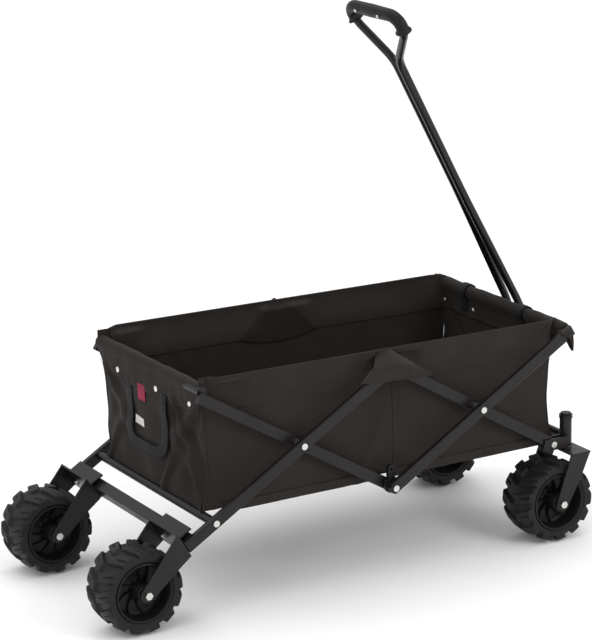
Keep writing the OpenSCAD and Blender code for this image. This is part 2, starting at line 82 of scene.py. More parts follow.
ENDS = {"rear": -1, "front": 1}
MID = centre("centre_crossbar")[0]
BAR_X = {end: abs(centre(f"{name}_top_bar")[0] - MID) for name, end in ENDS.items()}
BAR_Z = {end: centre(f"{name}_top_bar")[2] for name, end in ENDS.items()}
BAR_R = (span("front_top_bar")[1] - span("front_top_bar")[0])[0] / 2
RIM_Z = span("tub_side_left")[1][2]
FLOOR_Z = span("tub_floor")[0][2]
BASE_Z = span("tub_side_left")[0][2]
WALL_Y = 216.5
FOOT = {-1: 437.0, 1: 441.0}
SKEW = {-1: 14.0, 1: 0.0}
HANG = {-1: 9.0, 1: 0.0}
FLARE = span("tub_side_left")[1][1] - 218
SLEEVE_Y = {-1: span("rear_upper_bar_left")[0][1] - 0.6, 1: span("tub_front_panel")[1][1]}
POCKET_Y = span("centre_pockets")[1][1]
HEM = 78.0


def row(p):
    """Millimetres from the frame's middle to metres in the row frame."""
    p = np.asarray(p, float).copy()
    p[..., 0] += MID
    return p / 1000


# ---------------------------------------------------------------- materials
def new_material(name, base, rough, metallic=0.0, coat=0.0, coat_rough=0.1, sheen=0.0, spec=0.5):
    m = bpy.data.materials.new(name)
    m.use_nodes = True
    t = m.node_tree
    b = t.nodes["Principled BSDF"]
    b.inputs["Base Color"].default_value = (*base, 1)
    b.inputs["Roughness"].default_value = rough
    b.inputs["Metallic"].default_value = metallic
    b.inputs["Coat Weight"].default_value = coat
    b.inputs["Coat Roughness"].default_value = coat_rough
    b.inputs["Sheen Weight"].default_value = sheen
    b.inputs["Sheen Roughness"].default_value = 0.45
    b.inputs["Specular IOR Level"].default_value = spec
    return m, t, b


def node(t, kind, **inputs):
    n = t.nodes.new(kind)
    for k, v in inputs.items():
        if k in n.inputs:
            n.inputs[k].default_value = v
        else:
            setattr(n, k, v)
    return n


def noise(t, scale, detail=4.0, rough=0.6, coord="Object", stretch=(1, 1, 1)):
    c = node(t, "ShaderNodeTexCoord")
    m = node(t, "ShaderNodeMapping")
    m.inputs["Scale"].default_value = stretch
    n = node(t, "ShaderNodeTexNoise", Scale=scale, Detail=detail, Roughness=rough)
    t.links.new(c.outputs[coord], m.inputs["Vector"])
    t.links.new(m.outputs["Vector"], n.inputs["Vector"])
    return n.outputs["Fac"]


def ramp(t, fac, stops):
    r = node(t, "ShaderNodeValToRGB")
    while len(r.color_ramp.elements) < len(stops):
        r.color_ramp.elements.new(0.5)
    for e, (pos, colour) in zip(r.color_ramp.elements, stops):
        e.position = pos
        e.color = (*colour, 1) if len(colour) == 3 else colour
    t.links.new(fac, r.inputs["Fac"])
    return r.outputs["Color"]


def to_range(t, fac, low, high, a=0.0, b=1.0):
    r = node(t, "ShaderNodeMapRange")
    for k, v in (("From Min", a), ("From Max", b), ("To Min", low), ("To Max", high)):
        r.inputs[k].default_value = v
    t.links.new(fac, r.inputs["Value"])
    return r.outputs["Result"]


def math_node(t, op, a, b=None):
    n = node(t, "ShaderNodeMath", operation=op)
    for i, v in enumerate((a, b)):
        if v is None:
            continue
        if isinstance(v, (int, float)):
            n.inputs[i].default_value = v
        else:
            t.links.new(v, n.inputs[i])
    return n.outputs[0]


def bump(t, b, height, strength, distance, under=None):
    n = node(t, "ShaderNodeBump", Strength=strength, Distance=distance)
    t.links.new(height, n.inputs["Height"])
    if under is not None:
        t.links.new(under, n.inputs["Normal"])
    t.links.new(n.outputs["Normal"], b.inputs["Normal"])
    return n.outputs["Normal"]


def soften(t, b, radius):
    """Rounds sheet-metal edges a little in the shading."""
    n = node(t, "ShaderNodeBevel", samples=6)
    n.inputs["Radius"].default_value = radius
    return n.outputs["Normal"]


def scaled(c, k):
    return tuple(min(1.0, x * k) for x in c)


def powder_coat(name, base, rough, coat, edge):
    m, t, b = new_material(name, base, rough, coat=coat, coat_rough=0.18, spec=0.2)
    fine = noise(t, 2200, 2, 0.5)
    cloud = noise(t, 14, 5, 0.6)
    t.links.new(ramp(t, cloud, [(0.3, scaled(base, 0.8)), (0.7, scaled(base, 1.25))]), b.inputs["Base Color"])
    t.links.new(to_range(t, cloud, rough - 0.06, rough + 0.08, 0.3, 0.7), b.inputs["Roughness"])
    bump(t, b, fine, 0.12, 0.0002, soften(t, b, edge))
    return m


def moulded(name, base, rough, grain=1500, strength=0.2, edge=0.0008):
    m, t, b = new_material(name, base, rough, spec=0.22)
    fine = noise(t, grain, 3, 0.55)
    cloud = noise(t, 20, 4, 0.6)
    t.links.new(ramp(t, cloud, [(0.3, scaled(base, 0.75)), (0.72, scaled(base, 1.35))]), b.inputs["Base Color"])
    t.links.new(to_range(t, cloud, rough - 0.07, rough + 0.09, 0.3, 0.7), b.inputs["Roughness"])
    bump(t, b, fine, strength, 0.0004, soften(t, b, edge))
    return m


def zinc(name, base, rough):
    m, t, b = new_material(name, base, rough, metallic=1.0)
    spangle = noise(t, 500, 3, 0.6)
    t.links.new(ramp(t, spangle, [(0.35, scaled(base, 0.75)), (0.65, scaled(base, 1.1))]), b.inputs["Base Color"])
    t.links.new(to_range(t, spangle, rough - 0.08, rough + 0.12, 0.3, 0.7), b.inputs["Roughness"])
    bump(t, b, noise(t, 900, 2, 0.5), 0.08, 0.0002, soften(t, b, 0.0005))
    return m


def woven(name, base, rough, pitch=0.0011, strength=0.35, sheen=0.10, stretch=(1, 1)):
    """Plain weave from the cloth's own UVs, which are in metres, with slubs and a little cloud."""
    m, t, b = new_material(name, base, rough, sheen=sheen, spec=0.18)
    b.inputs["Sheen Tint"].default_value = (0.75, 0.7, 0.66, 1)
    uv = node(t, "ShaderNodeTexCoord").outputs["UV"]
    cut = node(t, "ShaderNodeSeparateXYZ")
    t.links.new(uv, cut.inputs[0])
    w = 2 * math.pi / pitch
    warp = math_node(t, "SINE", math_node(t, "MULTIPLY", cut.outputs[0], w * stretch[0]))
    weft = math_node(t, "SINE", math_node(t, "MULTIPLY", cut.outputs[1], w * stretch[1]))
    cross = math_node(t, "MULTIPLY", warp, weft)
    ribs = math_node(t, "ADD", math_node(t, "ABSOLUTE", warp), math_node(t, "ABSOLUTE", weft))
    height = math_node(t, "ADD", math_node(t, "MULTIPLY", cross, 0.6), math_node(t, "MULTIPLY", ribs, -0.5))
    slub_v = noise(t, 1, 3, 0.7, "UV", (700, 45, 1))
    slub_h = noise(t, 1, 3, 0.7, "UV", (45, 700, 1))
    slub = math_node(t, "ADD", slub_v, slub_h)
    cloud = noise(t, 9, 5, 0.62)
    mix = math_node(t, "ADD", math_node(t, "MULTIPLY", slub, 0.38), math_node(t, "MULTIPLY", cloud, 0.45))
    colour = ramp(t, mix, [(0.36, scaled(base, 0.6)), (0.6, base), (0.82, scaled(base, 1.5))])
    t.links.new(colour, b.inputs["Base Color"])
    t.links.new(to_range(t, slub, rough - 0.05, rough + 0.08, 0.7, 1.3), b.inputs["Roughness"])
    first = node(t, "ShaderNodeBump", Strength=strength, Distance=0.0005)
    t.links.new(height, first.inputs["Height"])
    bump(t, b, slub, 0.25, 0.0006, first.outputs["Normal"])
    return m


FABRIC = (0.0181, 0.0146, 0.0128)
M = {
    "frame_paint": powder_coat("frame_paint", (0.0100, 0.0086, 0.0081), 0.33, 0.10, 0.0014),
    "handle_paint": powder_coat("handle_paint", (0.0042, 0.0040, 0.0040), 0.26, 0.3, 0.0006),
    "bolt": zinc("bolt", (0.66, 0.65, 0.63), 0.28),
    "tyre": moulded("tyre", (0.0105, 0.0097, 0.0093), 0.55, 900, 0.3, 0.0006),
    "rim": moulded("rim", (0.0081, 0.0079, 0.0079), 0.42, 1500, 0.15),
    "moulding": moulded("moulding", (0.0065, 0.0063, 0.0063), 0.42, 1400, 0.2),
    "grip": moulded("grip", (0.0052, 0.0048, 0.0047), 0.45, 1100, 0.35, 0.001),
    "fabric": woven("fabric", FABRIC, 0.78),
    "board": woven("board", scaled(FABRIC, 0.9), 0.8, 0.0013),
    "webbing": woven("webbing", (0.0052, 0.0051, 0.0054), 0.62, 0.0022, 0.7, 0.05, (1, 0.5)),
    "snap": zinc("snap", (0.86, 0.80, 0.75), 0.2),
}
OWN = {
    # fabric darkened to 0.7 for cloth inside the tub: painted shade
    "inner_cloth_painted_shade": woven("inner_cloth_painted_shade", scaled(FABRIC, 0.7), 0.85, sheen=0.04),
    # fabric darkened to 0.74 for the end panels, their sleeves, the corner flaps and the floor cloth: painted shade for
    # faces turned from the lamps and for the inside of the tub
    "end_cloth_painted_shade": woven("end_cloth_painted_shade", scaled(FABRIC, 0.74), 0.8, sheen=0.07),
    "thread": woven("thread", scaled(FABRIC, 1.9), 0.7, 0.0006),
    "patch": woven("patch", (0.55, 0.54, 0.53), 0.75, 0.0009),
    "tab": woven("tab", (0.24, 0.014, 0.045), 0.7, 0.0009),
}


# ---------------------------------------------------------------- mesh helpers
def unit(v):
    return v / np.maximum(np.linalg.norm(v, axis=-1, keepdims=True), 1e-12)


def grid_faces(nu, nv, wrap_u=False, wrap_v=False, start=0):
    u, v = np.meshgrid(np.arange(nu if wrap_u else nu - 1), np.arange(nv if wrap_v else nv - 1), indexing="ij")
    u, v = u.ravel(), v.ravel()
    u1, v1 = (u + 1) % nu, (v + 1) % nv
    return np.stack([u * nv + v, u1 * nv + v, u1 * nv + v1, u * nv + v1], 1) + start


def piece(name, verts, faces, slot, body, smooth=True, uv=None, material=None):
    """A mesh from millimetre points measured from the frame's middle."""
    data = bpy.data.meshes.new(name)
    data.from_pydata(row(verts).tolist(), [], [list(map(int, f)) for f in faces])
    data.validate()
    o = bpy.data.objects.new(name, data)
    bpy.context.scene.collection.objects.link(o)
    data.materials.append(material or M[slot])
    data.polygons.foreach_set("use_smooth", [smooth] * len(data.polygons))
    if uv is not None:
        layer = data.uv_layers.new(name="weave")
        index = np.zeros(len(data.loops), int)
        data.loops.foreach_get("vertex_index", index)
        layer.data.foreach_set("uv", np.asarray(uv)[index].astype(np.float32).ravel())
    data.update()
    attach(o, body)
    return o


def normals(p, wrap_u=False, wrap_v=False):
    def step(a, axis, wrap):
        if wrap:
            return np.roll(a, -1, axis) - np.roll(a, 1, axis)
        return np.gradient(a, axis=axis)
    return unit(np.cross(step(p, 0, wrap_u), step(p, 1, wrap_v)))


def lengths(p):
    """UVs in metres along a grid of points."""
    du = np.linalg.norm(np.diff(p, axis=0), axis=2).mean(1)
    dv = np.linalg.norm(np.diff(p, axis=1), axis=2).mean(0)
    u = np.concatenate([[0], np.cumsum(du)])
    v = np.concatenate([[0], np.cumsum(dv)])
    return np.stack(np.meshgrid(u, v, indexing="ij"), 2) / 1000


def cloth(name, p, thick, slot, body="tub", wrap_u=False, material=None):
    """A closed slab of cloth round the grid of points p."""
    nu, nv = p.shape[:2]
    n = normals(p, wrap_u)
    a, b = p + n * thick / 2, p - n * thick / 2
    verts = np.concatenate([a.reshape(-1, 3), b.reshape(-1, 3)])
    top = grid_faces(nu, nv, wrap_u)
    under = grid_faces(nu, nv, wrap_u, start=nu * nv)[:, ::-1]
    rim = []
    u_lines = [] if wrap_u else [[i for i in range(nv)], [(nu - 1) * nv + i for i in range(nv)][::-1]]
    v_lines = [[i * nv for i in range(nu)][::-1], [i * nv + nv - 1 for i in range(nu)]]
    if wrap_u:
        v_lines = [line + line[:1] for line in v_lines]
        v_lines[0] = [(i % nu) * nv for i in range(nu, -1, -1)]
        v_lines[1] = [(i % nu) * nv + nv - 1 for i in range(nu + 1)]
    for line in u_lines + v_lines:
        for i, k in zip(line, line[1:]):
            rim.append([i, i + nu * nv, k + nu * nv, k][::-1])
    uv = lengths(p).reshape(-1, 2)
    return piece(name, verts, np.concatenate([top, under, rim]), slot, body, True, np.concatenate([uv, uv]), material)


def sweep(path, rings, closed=False):
    """Points of a tube: rings[i] is the cross-section (k,2) at path[i]."""
    path = np.asarray(path, float)
    t = unit(np.gradient(path, axis=0)) if not closed else unit(np.roll(path, -1, 0) - np.roll(path, 1, 0))
    up = np.array([0, 0, 1.0]) if abs(t[0, 2]) < 0.9 else np.array([0, 1.0, 0])
    a = unit(np.cross(t[0], up))
    out = []
    for p, d, ring in zip(path, t, rings):
        a = unit(a - d * (a @ d))
        b = np.cross(d, a)
        out.append(p + ring[:, :1] * a + ring[:, 1:] * b)
    return np.array(out)


def circle(k, r=1.0, squash=1.0):
    t = np.arange(k) * 2 * math.pi / k
    return np.stack([r * np.cos(t), r * squash * np.sin(t)], 1)


def tube(name, path, radius, slot, body, sides=16, closed=False):
    radius = np.broadcast_to(radius, (len(path),))
    p = sweep(path, [circle(sides, r) for r in radius], closed)
    faces = grid_faces(len(path), sides, closed, True).tolist()
    if not closed:
        faces += [list(range(sides))[::-1], [(len(path) - 1) * sides + i for i in range(sides)]]
    uv = lengths(np.concatenate([p, p[:, :1]], 1))[:, :-1].reshape(-1, 2)
    return piece(name, p.reshape(-1, 3), faces, slot, body, True, uv)


def smooth_path(points, n, passes=2):
    """Catmull-Rom through the points."""
    p = np.asarray(points, float)
    p = np.concatenate([[2 * p[0] - p[1]], p, [2 * p[-1] - p[-2]]])
    out = []
    for i in range(1, len(p) - 2):
        for t in np.arange(n) / n:
            a, b, c, d = p[i - 1], p[i], p[i + 1], p[i + 2]
            out.append(0.5 * (2 * b + (c - a) * t + (2 * a - 5 * b + 4 * c - d) * t * t + (3 * b - a - 3 * c + d) * t ** 3))
    out.append(p[-2])
    return np.array(out)


def waves(u, v, seed, low, high, count=26, lean=None):
    """Smooth seeded folds: a sum of ripples with wavelengths between low and high."""
    g = np.random.default_rng(seed)
    out = np.zeros(np.broadcast(u, v).shape)
    for _ in range(count):
        wave = low * (high / low) ** g.random()
        a = g.random() * math.pi if lean is None else lean + g.normal() * 0.35
        out += wave / high * np.cos(2 * math.pi / wave * (u * math.cos(a) + v * math.sin(a)) + g.random() * 6.28)
    return out / math.sqrt(count)


def bell(x, width):
    return np.exp(-(x / width) ** 2)


def smoothstep(x, a, b):
    t = np.clip((x - a) / (b - a), 0, 1)
    return t * t * (3 - 2 * t)


# ---------------------------------------------------------------- CAD nodes that stay get their finish
SLOT_OF = {p["node"]: p["material_slot"] for p in frame["record"]["subparts"]}
for name, o in frame["nodes"].items():
    o.data.materials.clear()
    o.data.materials.append(M[SLOT_OF[name]])
    o.data.polygons.foreach_set("use_smooth", [True] * len(o.data.polygons))
    o.data.set_sharp_from_angle(angle=math.radians(28))


# ---------------------------------------------------------------- wheels
def tyre_mesh():
    """Tyre about its axle along Y, in millimetres: a wide flat carcass with chunky lugs over its shoulders."""
    low, high = span("rear_tyre_left")
    radius = (high - low)[2] / 2
    half = (high - low)[1] / 2
    bead_r = (span("rear_rim_left")[1] - span("rear_rim_left")[0])[2] / 2
    lugs = 13
    n_round, n_in = 720, 12
    flat = 0.40
    t = np.linspace(-1, 1, 104)
    a = np.abs(t)
    # the carcass: a slightly crowned tread, a tight shoulder, then a bulging wall down to the bead
    tread = np.clip(a / flat, 0, 1)
    wall = np.clip((a - flat) / (1 - flat), 0, 1)
    y_base = np.where(a < flat, 36.0 * tread, 36.0 + (half - 1.2 - 36.0) * np.sin(np.minimum(wall * 2.1, 1) * math.pi / 2))
    y_base = y_base - 3.5 * smoothstep(wall, 0.72, 1.0)
    r_base = np.where(a < flat, radius - 8.0 - 2.5 * tread ** 2, radius - 10.5 - (radius - 10.5 - bead_r - 1) * wall ** 1.25)
    line = np.stack([r_base, y_base * np.sign(t)], 1)
    step = np.gradient(line, axis=0)
    out = unit(np.stack([step[:, 1], -step[:, 0]], 1))
    th = np.arange(n_round) * 2 * math.pi / n_round
    T, A = np.meshgrid(th, t, indexing="ij")
    B = np.abs(A)
    phase = np.where(A >= 0, 0.0, 0.5)
    q = (T * lugs / (2 * math.pi) + phase + 0.30 * B / flat) % 1.0
    edge = np.abs(q - 0.5)
    wide = 0.25 + 0.06 * smoothstep(B, 0.1, flat)
    along = 1 - smoothstep(edge, wide - 0.035, wide + 0.035)
    ends = smoothstep(B, 0.025, 0.055) * (1 - smoothstep(B, 0.60, 0.66))
    groove = 1 - 0.45 * bell(edge, 0.035) * smoothstep(B, 0.2, 0.3) * (1 - smoothstep(B, 0.5, 0.58))
    height = 8.0 * along * ends * groove
    tie = 3.0 * bell(A, 0.03) * (1 - along)
    rings = 0.9 * bell(B - 0.9, 0.012) + 0.6 * bell(B - 0.8, 0.01)
    grow = height + tie + rings
    r = np.minimum(r_base + grow * out[:, 0], radius)
    y = np.clip(y_base * np.sign(t) + grow * out[:, 1], -half, half)
    bead = np.linspace(1, -1, n_in + 2)[1:-1]
    r = np.concatenate([r, np.full((n_round, n_in), bead_r + 0.1)], 1)
    y = np.concatenate([y, np.broadcast_to(bead * half * 0.9, (n_round, n_in))], 1)
    p = np.stack([r * np.cos(th)[:, None], y, r * np.sin(th)[:, None]], 2)
    nu, nv = p.shape[:2]
    return p.reshape(-1, 3), grid_faces(nu, nv, True, True)


def lathe(profile, n=96):
    """Points and faces of a closed profile [(r, y)] turned about Y."""
    prof = np.asarray(profile, float)
    th = np.arange(n) * 2 * math.pi / n
    p = np.stack([np.outer(np.cos(th), prof[:, 0]), np.broadcast_to(prof[:, 1], (n, len(prof))),
                  np.outer(np.sin(th), prof[:, 0])], 2)
    return p.reshape(-1, 3), grid_faces(n, len(prof), True, True)


def join(*parts):
    verts, faces, at = [], [], 0
    for v, f in parts:
        verts.append(np.asarray(v))
        faces += [[i + at for i in q] for q in np.asarray(f).tolist()] if not isinstance(f, list) else [[i + at for i in q] for q in f]
        at += len(v)
    return np.concatenate(verts), faces


def rounded(profile, r, n=4):
    """The closed profile with its corners rounded."""
    p = np.asarray(profile, float)
    out = []
    for i in range(len(p)):
        a, b, c = p[i - 1], p[i], p[(i + 1) % len(p)]
        e = min(r, np.linalg.norm(a - b) * 0.45, np.linalg.norm(c - b) * 0.45)
        s, f = b + unit(a - b) * e, b + unit(c - b) * e
        for k in range(n + 1):
            t = k / n
            out.append(s * (1 - t) ** 2 + 2 * b * t * (1 - t) + f * t * t)
    return out


def rim_mesh():
    """Moulded rim: a deep dish each side, a hub and ten low curved ribs on each face of the web."""
    low, high = span("rear_rim_left")
    r = (high - low)[2] / 2 - 0.1
    half = 47.0
    web = 12.0
    barrel = [(r, -half), (r, half), (r - 3.5, half + 0.8), (r - 5.5, half - 3), (r - 7.5, web + 5), (r - 12, web), (25, web),
              (21, web + 4), (17.5, 51), (5.3, 51), (5.3, -51), (17.5, -51), (21, -web - 4), (25, -web), (r - 12, -web),
              (r - 7.5, -web - 5), (r - 5.5, 3 - half), (r - 3.5, -half - 0.8)]
    parts = [lathe(rounded(barrel, 2.0), 128)]
    reach = np.linspace(18.0, r - 6.5, 16)
    share = (reach - 18) / (r - 24.5)
    for face in (1, -1):
        for i in range(10):
            t = i * 2 * math.pi / 10 + 0.5 * share ** 1.3 * face
            mid = np.stack([reach * np.cos(t), reach * np.sin(t)], 1)
            d = unit(np.gradient(mid, axis=0))
            side = np.stack([-d[:, 1], d[:, 0]], 1)
            depth = web + 3.0 + 9.0 * (1 - share) ** 2 + 5.0 * share ** 3
            ring = []
            for m, s, h in zip(mid, side, depth):
                for k, y in ((-1.2, 4), (1.2, 4), (0.95, h - 0.8), (0.45, h), (-0.45, h), (-0.95, h - 0.8)):
                    ring.append([m[0] + s[0] * k, face * y, m[1] + s[1] * k])
            f = grid_faces(16, 6, False, True).tolist() + [list(range(6))[::-1], [15 * 6 + k for k in range(6)]]
            if face < 0:
                f = [q[::-1] for q in f]
            parts.append((np.array(ring), f))
    return join(*parts)


TYRE, RIM = tyre_mesh(), rim_mesh()
for side, sign in SIDES.items():
    for end in ("rear", "front"):
        c = centre(f"{end}_tyre_{side}") - np.array([MID, 0, 0])
        body = f"{end}_wheel_{side}"
        turn = {"rear": 0.13, "front": 0.31}[end] + 0.2 * sign
        rot = np.array([[math.cos(turn), 0, math.sin(turn)], [0, 1, 0], [-math.sin(turn), 0, math.cos(turn)]])
        for (v, f), slot, what in ((TYRE, "tyre", "tread"), (RIM, "rim", "spokes")):
            w = v @ rot.T
            faces = np.asarray(f).tolist() if not isinstance(f, list) else f
            if sign < 0:
                w = w * [1, -1, 1]
                faces = [q[::-1] for q in faces]
            o = piece(f"{end}_{what}_{side}", w + c, faces, slot, body)
            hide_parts(f"{end}_{'tyre' if slot == 'tyre' else 'rim'}_{side}")


# ---------------------------------------------------------------- tub
SEAM = 56.0
pieces = {}


def height_share(z):
    return np.clip((z - FLOOR_Z) / (RIM_Z - 8 - FLOOR_Z), 0, 1)


def pull(z, end):
    """How far the tub's upright corners pull in: nothing at the floor and at the rim."""
    return np.sin(height_share(z) ** 0.8 * math.pi) ** 0.75


def corner_x(z, end, side=0):
    """Where an upright corner stands at that height; the rear panel hangs a little askew."""
    t = np.clip((z - FLOOR_Z) / (BAR_Z[end] - 14 - FLOOR_Z), 0, 1)
    straight = FOOT[end] + (BAR_X[end] + HANG[end] - FOOT[end]) * t
    return straight - 13.0 * pull(z, end) + SKEW[end] * side * smoothstep(t, 0, 0.35) * (1 - 0.6 * t)


def corner_y(z, end):
    return WALL_Y - (17.0 if end < 0 else 11.0) * pull(z, end)


def rim_line(x):
    """The rim runs down a little towards the front."""
    return RIM_Z + 2.5 - 0.013 * np.asarray(x)


def tension(u, z, corners, depth, reach):
    """Drawn folds that run out from the corners where the cloth is held."""
    out = 0
    for cu, cz, au, az, share in corners:
        far = np.hypot(u - cu, z - cz)
        off = (u - cu) * az - (z - cz) * au
        out = out + share * depth * np.cos(off / (5 + far * 0.05)) * bell(off, 10 + far * 0.25) * bell(far, reach)
    return out


def side_y(x, z, sign):
    """Outward distance of the side's cloth at x, z."""
    x, z = np.asarray(x, float), np.asarray(z, float)
    inward = 0
    for end in (-1, 1):
        gap = corner_x(z, end, sign) - x * end
        inward = inward + (WALL_Y - corner_y(z, end)) * np.exp(-np.maximum(gap, 0) / 60.0)
    top = rim_line(x)
    sharp = smoothstep(z, top - 19, top - 7)
    slow = smoothstep(z, top - 74, top - 4)
    free = smoothstep(x, -370, -320) * (1 - smoothstep(x, -60, -20)) + smoothstep(x, 62, 100)
    flare = FLARE * (sharp + (slow - sharp) * np.clip(free, 0, 1)) * smoothstep(x, -428, -396) * (1 - smoothstep(x, 415, 446))
    t = height_share(z)
    belly = np.sin(t * math.pi) ** 0.7
    folds = waves(x, z * 0.45, 11 + sign, 60, 420, 22, 0.0) * 3.4 * belly
    drawn = tension(x, z, ((-385, 245, 0.77, 0.63, 1), (395, 245, -0.77, 0.63, 1), (-60, 236, 0.5, 0.86, 0.8),
                           (60, 236, -0.5, 0.86, 0.8), (-300, 470, 0.4, -0.9, 0.5)), 2.6, 150)
    calm = 1 - smoothstep(z, top - 60, top - 12)
    return WALL_Y - inward + flare + np.minimum(folds + drawn, 2.2) * calm


def side_grid(sign):
    u = np.linspace(0, 1, 250)
    v = np.concatenate([np.linspace(0, 0.84, 70), np.linspace(0.845, 1, 30)])
    U, V = np.meshgrid(u, v, indexing="ij")
    Z = FLOOR_Z + (RIM_Z - 2 - FLOOR_Z) * V
    for _ in range(2):
        low, high = -corner_x(Z, -1, sign) + 0.5, corner_x(Z, 1, sign) - 0.5
        X = low + (high - low) * U
        Z = FLOOR_Z + (rim_line(X) - 1.5 - FLOOR_Z) * V
    return np.stack([X, side_y(X, Z, sign) * sign, Z], 2)


def end_x(y, z, end):
    """How far out an end panel's cloth is at y, z."""
    y, z = np.asarray(y, float), np.asarray(z, float)
    t = height_share(z)
    belly = np.sin(t * math.pi) ** 0.7
    middle = (17.0 if end < 0 else 8.0) * pull(z, end) * (1 - np.exp(-np.maximum(corner_y(z, end) - np.abs(y), 0) / 60.0))
    folds = waves(y, z * 0.5, 31 + end, 50, 260, 20, 0.0) * 6.0 * belly
    drawn = tension(y, z, ((-192, 252, 0.62, 0.78, 1), (192, 252, -0.62, 0.78, 1), (-205, 455, 0.72, -0.69, 1.2),
                           (205, 455, -0.72, -0.69, 1.2), (-118, 420, -0.42, -0.91, 1.5), (-60, 260, -0.5, 0.86, 0.9)), 5.4, 190)
    calm = 1 - smoothstep(z, BAR_Z[end] - 62, BAR_Z[end] - 24)
    return corner_x(z, end, np.clip(y / WALL_Y, -1, 1)) + middle + np.minimum(folds + drawn, 7.0) * calm


def end_grid(end):
    u = np.linspace(-1, 1, 140)
    v = np.linspace(0, 1, 90)
    U, V = np.meshgrid(u, v, indexing="ij")
    Z = FLOOR_Z + (BAR_Z[end] - 14 - FLOOR_Z) * V
    Y = U * (corner_y(Z, end) - 0.5)
    return np.stack([end_x(Y, Z, end) * end, Y, Z], 2)


def sleeve_grid(end):
    """Hem round the end bar: the outer leg, over the bar, and the inner leg. Its ends close round the side bars."""
    half = SLEEVE_Y[end]
    bar_x, bar_z = BAR_X[end], BAR_Z[end]
    radius = BAR_R + 3.4
    legs = np.linspace(bar_z - SEAM, bar_z - 16, 14)
    over = np.linspace(-0.75, math.pi + 0.75, 30)
    rows = []
    for y in half * np.sin(np.linspace(-1, 1, 180) * math.pi / 2):
        wide = corner_y(legs, end) + (half - corner_y(legs, end)) * smoothstep(legs, bar_z - 46, bar_z - 14)
        ys = y / half * wide
        panel = end_x(ys, legs, end)
        swell = radius * (1 + 0.04 * math.sin(y / 31 + end) + 0.03 * math.sin(y / 11 + 2))
        drift = SKEW[end] * 0.35 * y / half
        out = [(x + 2.2, b, z) for x, b, z in zip(panel, ys, legs)]
        top = [(bar_x + drift + swell * math.cos(a), y, bar_z + swell * math.sin(a)) for a in over]
        back = [(x - 2.2, b, z) for x, b, z in zip(panel, ys, legs)][::-1]
        line = np.array(out + top + back)
        close = math.sqrt(max(1 - (max(abs(y) - (half - 7), 0) / 7) ** 2, 0.002)) ** 0.6
        line[:, 0] = bar_x + drift + (line[:, 0] - bar_x - drift) * close
        line[:, 2] = bar_z + (line[:, 2] - bar_z) * close
        rows.append(line * [end, 1, 1])
    p = np.array(rows)
    for _ in range(3):
        p[:, 1:-1] = p[:, 1:-1] * 0.5 + (p[:, :-2] + p[:, 2:]) * 0.25
    pucker = waves(p[..., 1], p[..., 2] * 0.8, 51 + end, 18, 90, 18, 0.0) * 0.8
    p[..., 0] += pucker * smoothstep(bar_z - p[..., 2], -4, 18) * (1 - smoothstep(np.abs(p[..., 1]), half - 14, half - 6))
    return p


def hem_grid(sign):
    """The side's rim, folded over and stitched down."""
    rows = []
    for x in np.linspace(-424, 442, 260):
        top = float(rim_line(x))
        legs = np.linspace(top - HEM, top - 4.0, 44)
        y = side_y(x, legs, sign)
        out = list(zip(y + 1.9, legs))
        arc = [(y[-1] + 2.2 * math.cos(a), top - 3.4 + 3.0 * math.sin(a)) for a in np.linspace(0.3, math.pi - 0.3, 7)]
        back = list(zip(y - 1.9, legs))[::-1]
        rows.append([[x, b * sign, z] for b, z in out + arc + back])
    return np.array(rows)


def sheet_piece(name, p, thick, what=None, slot="fabric", body="tub"):
    """A sheet of cloth over the grid p, kept among the tub's pieces."""
    o = cloth(name, p, thick, slot, body, material=OWN[what] if what else None)
    pieces[name] = o
    return o


def soft(name, o):
    pieces[name] = o
    return o


for side, sign in SIDES.items():
    wall = sheet_piece(f"tub_wall_{side}", side_grid(sign), 1.2)
    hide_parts(f"tub_side_{side}")
    sheet_piece(f"rim_hem_{side}", hem_grid(sign), 0.9)
# The end panels and their sleeves take the darker end cloth, which is painted shade.
for name, end in ENDS.items():
    wall = sheet_piece(f"{name}_end_cloth_painted_shade", end_grid(end), 1.2, "end_cloth_painted_shade")
    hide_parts(f"tub_{name}_panel")
    sheet_piece(f"{name}_bar_sleeve", sleeve_grid(end), 1.1, "end_cloth_painted_shade")


# ---------------------------------------------------------------- seams, bands and stitches
def stitches(name, rows, pitch=4.4, long=3.0, thick=0.45):
    """Short threads that lie along the rows of points."""
    verts, faces = [], []
    ring = circle(6)
    for points in rows:
        points = np.asarray(points, float)
        run = np.concatenate([[0], np.cumsum(np.linalg.norm(np.diff(points, axis=0), axis=1))])
        for at in np.arange(pitch, run[-1] - pitch, pitch):
            ends = [np.array([np.interp(at + d, run, points[:, k]) for k in range(3)]) for d in (0, long / 2, long)]
            path = np.array([ends[0], ends[0] * 0.3 + ends[1] * 0.7, ends[1] * 0.3 + ends[2] * 0.7, ends[2]])
            tubes = sweep(path, [ring * thick * k for k in (0.45, 1, 1, 0.45)])
            base = len(verts) * 24
            verts.append(tubes.reshape(-1, 3))
            faces += grid_faces(4, 6, False, True, base).tolist()
            faces += [[base + k for k in range(6)][::-1], [base + 18 + k for k in range(6)]]
    return soft(name, piece(name, np.concatenate(verts), faces, "fabric", "tub", material=OWN["thread"]))


for side, sign in SIDES.items():
    xs = np.linspace(-395, 420, 160)
    rows = []
    for drop in (HEM - 3.5, HEM - 9.5):
        z = rim_line(xs) - drop
        for off in (2.6, -2.6):
            rows.append(np.stack([xs, (side_y(xs, z, sign) + off) * sign, z], 1))
    stitches(f"hem_stitches_{side}", rows)
for name, end in ENDS.items():
    rows = []
    for drop in (SEAM - 3.5, SEAM - 8.5):
        z = BAR_Z[end] - drop
        ys = np.linspace(-1, 1, 110) * (corner_y(z, end) - 6)
        for off in (3.1, -3.1):
            rows.append(np.stack([(end_x(ys, np.full(110, z), end) + off) * end, ys, np.full(110, z)], 1))
    stitches(f"{name}_sleeve_stitches", rows)

